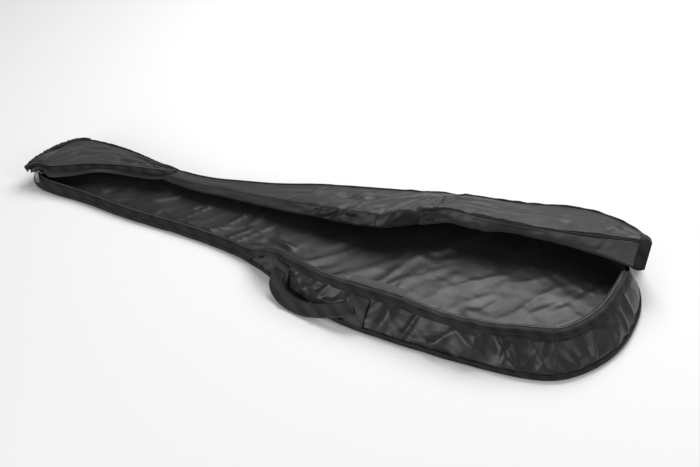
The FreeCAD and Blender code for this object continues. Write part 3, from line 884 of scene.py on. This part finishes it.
def curve(points, count):
    """A smooth open curve through the points, evenly spaced along its length."""
    points = np.array(points, float)
    along = distances(points)
    at = np.linspace(0, along[-1], count)
    return np.column_stack([smooth_between(at, along, column) for column in points.T])


def between(first, second, share):
    """Rows of points that run from one line to another, at each share of the way."""
    share = share[None, :, None]
    return first[:, None] * (1 - share) + second[:, None] * share


def head_cover():
    """The lid's closed part over the headstock, with its lining edge and zip tape."""
    near, opening, far = (curve(c, HEAD_POINTS) for c in (HEAD_TAPE, HEAD_OPENING, HEAD_FAR))
    v = np.linspace(0, 1, 22)
    grid = between(near, far, v)
    grid[..., 2] += 5.0 * np.sin(math.pi * v)[None, :] * np.linspace(0.5, 0.1, HEAD_POINTS)[:, None]
    u, w = np.meshgrid(np.linspace(0, HEAD_LENGTH, HEAD_POINTS), HEAD_WIDTH * v, indexing="ij")
    creases = crease_field(41, 30, (0, 0), (HEAD_LENGTH, HEAD_WIDTH), 90, 7, 3.4, 10, 30)
    fade = unit(np.minimum(v, 1 - v) * 8)[None, :]
    slack = crumple(u, w, creases) + ripple(u, w, 70, 26, 4.2, 9.4) + crinkle(u, w, 150, 30, 8, 2.4, 3.3)
    cover = cloth("head_cover_cloth", push(grid, slack * fade), 3.0, LID_OUT)
    place(cover, ROOT, "outer_nylon", *layers("head_cover"))

    strip_grid = between(opening + [0, 2.0, -2.0], near, np.linspace(-0.25, 0.4, 6))
    strip_grid[..., 2] -= 0.6
    strip = cloth("head_cover_lining_edge", strip_grid, 2.4, LID_LINING)
    place(strip, ROOT, "inner_lining")

    share = np.linspace(0.2, 1, 6)
    tape_grid = between(opening, near, share)
    tape_grid[..., 2] += 1.6 * np.sin(math.pi * share) + 1.2
    wave = ripple(u[:, :6], w[:, :6], 30, 30, 1.2, 5.9)
    tape = cloth("head_cover_zip_tape_cloth", push(tape_grid, wave), 1.2, ZIP_TAPE)
    place(tape, ROOT, "zip_tape", "head_cover_zip_tape")
    coil_along("head_cover_zip_teeth", near + [0, -1.0, 3.0], ROOT, pitch=2.6, radius=1.3)
    stitches("head_cover_zip_stitches", near + [0, 3.0, 2.6], ROOT, pitch=5.0, size=(2.6, 0.5))


def head_seams():
    """Lumpy seam bindings round the head end and along its far side, and the cloth that closes
    the end under them."""
    lumps = noise_field(np.arange(HEAD_POINTS) * 0.33, 4.0, 1.0)
    for name, line, across, up, uneven, sides, taper in (
            ("head_end_seam_binding", HEAD_SEAM, 5.2, 6.4, 2.0, 10, 4),
            ("head_side_seam_binding", HEAD_SIDE, 3.0, 3.2, 0.8, 8, 5)):
        band = tube(name, curve(line, HEAD_POINTS), across + uneven * lumps, up + uneven * lumps,
                    BINDING, sides=sides, taper=taper)
        place(band, ROOT, "edge_binding")
    seam = stretch(("hinge", -560), ("zip", -598), 4.0)
    base = np.column_stack([on_seam(seam, 4.0), np.full(len(seam), 25.0)])
    grid = between(base, curve(HEAD_END_TOP, len(seam))[::-1], np.linspace(0, 1, 8))
    grid = push(grid, -ripple(grid[..., 1], grid[..., 2], 22, 14, 1.6, 2.2))
    end = cloth("head_cover_end_cloth", grid, 2.0, NYLON_OUT)
    place(end, ROOT, "outer_nylon")


# ---- handle and small pieces ----
HANDLE_ENDS = np.array([(12.73, -164.47, 41.0), (175.54, -199.63, 41.0)])
HANDLE_SLOPE = math.radians(42)
HANDLE_DEPTH = 54.0
WEB_WIDTH = 26.0
# The slack handle's middle line: share of the way between its ends, and of its depth.
HANDLE_LINE = [(0.0, 0.02), (0.0, 0.22), (0.02, 0.44), (0.10, 0.64), (0.22, 0.76), (0.36, 0.80),
               (0.50, 0.75), (0.64, 0.60), (0.78, 0.40), (0.90, 0.20), (0.975, 0.04)]
HANDLE_FOLDS = (0.27, 0.60)     # where its slanted folds are, as shares of its length
PATCH_WIDTH, PATCH_LOW, PATCH_HIGH, PATCH_PROUD = 38.0, 11.0, 53.0, 4.2


def patch_grid(x):
    """A flat patch on the outside of the zip side's wall, with its middle at x."""
    middle = seam_at("zip", x)
    t = np.linspace(middle - PATCH_WIDTH / 2, middle + PATCH_WIDTH / 2, 12)
    tt, height = np.meshgrid(t, np.linspace(PATCH_LOW, PATCH_HIGH, 14), indexing="ij")
    vv = unit((height - WALL_FOOT) / (rim_profile(tt, RIM_HEIGHT) - WALL_FOOT))
    lean = rim_profile(tt, RIM_LEAN) * vv ** WALL_CURVE
    return np.dstack([on_seam(tt, lean - PATCH_PROUD - 3.0 * np.sin(math.pi * vv)), height])


def anchors():
    """Two sewn webbing patches that carry the handle, each with a stitched box and cross."""
    for name, x in (("head", 15.0), ("tail", 175.0)):
        grid = patch_grid(x)
        grid = push(grid, ripple(grid[..., 0], grid[..., 2], 30, 22, 1.2, x))
        patch = cloth(f"handle_anchor_{name}_side_webbing", grid, 2.4, WEBBING)
        place(patch, ROOT, "webbing", f"handle_anchor_{name}_side")
        inner = grid[1:-1, 1:-1]
        out = np.array([0, -1.6, 0.6])
        ways = [inner[0], inner[-1], inner[:, 0], inner[:, -1],
                inner[range(10), range(1, 11)], inner[range(10), range(10, 0, -1)]]
        for number, way in enumerate(ways):
            stitches(f"handle_anchor_{name}_stitch_{number}", way + out, ROOT, pitch=3.4,
                     size=(2.2, 0.5))


def handle():
    """Flat ribbed webbing that hangs slack between its patches, with a few slanted folds."""
    along = HANDLE_ENDS[1] - HANDLE_ENDS[0]
    span = np.linalg.norm(along)
    along = along / span
    outward = np.array([along[1], -along[0], 0])
    deep = outward * math.cos(HANDLE_SLOPE) - np.array([0, 0, math.sin(HANDLE_SLOPE)])
    normal = np.cross(deep, along)
    path = curve([(share * span, sag * HANDLE_DEPTH) for share, sag in HANDLE_LINE], 70)
    ahead = np.gradient(path, axis=0)
    ahead /= np.hypot(*ahead.T)[:, None]
    side = np.column_stack([ahead[:, 1], -ahead[:, 0]])
    length = distances(path)
    width = np.linspace(-WEB_WIDTH / 2, WEB_WIDTH / 2, 11)
    flat = path[:, None] + side[:, None] * width[None, :, None]
    cup = 1.1 * (width / (WEB_WIDTH / 2)) ** 2
    wave = noise_field(length / 30, 0.4, 0)
    middle = np.sin(length / length[-1] * math.pi)[:, None]
    rise = -1.7 + 2.2 * wave[:, None] * middle + cup[None, :]
    for share in HANDLE_FOLDS:
        slant = length[:, None] - share * length[-1] + 0.55 * width[None, :]
        rise += 2.4 * np.exp(-(slant / 5.0) ** 2)
    grid = HANDLE_ENDS[0] + flat[..., :1] * along + flat[..., 1:] * deep + rise[..., None] * normal
    strap = cloth("handle_webbing_strap", grid, 2.8, WEBBING)
    place(strap, "handle", "webbing", "handle_webbing")
    for number, column in enumerate((1, 9)):
        stitches(f"handle_webbing_stitch_{number}", grid[1:-1, column] + normal * 1.7, "handle",
                 pitch=4.0, size=(2.6, 0.5))


def inner_tab():
    """A flat tab of lining cloth sewn inside the rim behind the handle."""
    first = seam_at("zip", 140)
    tt, vv = np.meshgrid(np.linspace(first, first + 108, 40), np.linspace(0, 1, 8), indexing="ij")
    inset = rim_profile(tt, RIM_LEAN) + 6 + 20 * vv
    height = rim_profile(tt, RIM_HEIGHT) + 3.6 + np.sin(2.6 * vv)
    grid = np.dstack([on_seam(tt, inset), height])
    grid = push(grid, ripple(tt, vv * 18, 26, 20, 1.4, 6.1))
    tab = cloth("inner_tab_cloth", grid, 1.2, TAB_CLOTH)
    place(tab, ROOT, "inner_lining", "inner_tab")


# ---- stage ----
CAMERA_AT = (0.7095, -1.3697, 1.1118)     # metres
CAMERA_AZIMUTH, CAMERA_ELEVATION, CAMERA_ROLL = 25.0, 35.52, 0.63     # degrees
LENS = 51.2
FLOOR_HALF = 8000.0
FLOOR_GREY = 0.835
SKY_STRENGTH = 0.30
# Round lamps that face the origin: name, place and size across in metres, power in watts.
LAMPS = [("overhead", (0.1, 1.3, 1.9), 1.8, 52), ("front", (-0.4, -2.5, 0.75), 1.7, 34),
         ("right", (2.3, -0.4, 1.5), 1.2, 12)]


def camera():
    """Looks down along the bag from in front of its zipped side."""
    data = bpy.data.cameras.new("camera")
    data.sensor_width = 36.0
    data.lens = LENS
    data.clip_end = 30
    obj = bpy.data.objects.new("camera", data)
    turn = Matrix.Identity(4)
    for degrees, axis in ((CAMERA_AZIMUTH, "Z"), (90 - CAMERA_ELEVATION, "X"), (CAMERA_ROLL, "Z")):
        turn = turn @ Matrix.Rotation(math.radians(degrees), 4, axis)
    obj.matrix_world = Matrix.Translation(CAMERA_AT) @ turn
    bpy.context.scene.collection.objects.link(obj)
    bpy.context.scene.camera = obj


def floor_and_lights():
    """A light floor, an even sky and three soft lamps."""
    corners = [(x * FLOOR_HALF, y * FLOOR_HALF, 0) for x, y in ((-1, -1), (1, -1), (1, 1), (-1, 1))]
    material, _, shader = new_material("floor", (0.9, 0.9, 0.9))
    shader["Base Color"].default_value = (FLOOR_GREY, FLOOR_GREY, FLOOR_GREY, 1)
    shader["Roughness"].default_value = 0.9
    add_object("floor", corners, [(0, 1, 2, 3)], material)
    world = bpy.data.worlds.new("studio")
    world.use_nodes = True
    sky = world.node_tree.nodes["Background"].inputs
    sky["Color"].default_value = (1, 1, 1, 1)
    sky["Strength"].default_value = SKY_STRENGTH
    bpy.context.scene.world = world
    for name, at, size, power in LAMPS:
        data = bpy.data.lights.new(name, "AREA")
        data.shape = "DISK"
        data.size = size
        data.energy = power
        lamp = bpy.data.objects.new(name, data)
        lamp.location = at
        lamp.rotation_euler = (-Vector(at)).to_track_quat("-Z", "Y").to_euler()
        bpy.context.scene.collection.objects.link(lamp)


bpy.context.scene.view_settings.view_transform = "Standard"
camera()
floor_and_lights()
back_panel()
walls()
binding()
lower_zip()
head_cover()
head_seams()
neck_lid()
lid_body()
lid_tail_tape()
fold_face_seam("lid_fold_seam_at_waist", 115.0, ROOT)
fold_face_seam("lid_fold_seam_at_tail", 521.0)
anchors()
handle()
inner_tab()
METAL_AND_COIL = {"zip_slider_body": SLIDER, "zip_pull_tab": SLIDER, "zip_bottom_stop": ZIP_COIL}
for node, material in METAL_AND_COIL.items():
    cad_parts[node].data.materials.clear()
    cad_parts[node].data.materials.append(material)
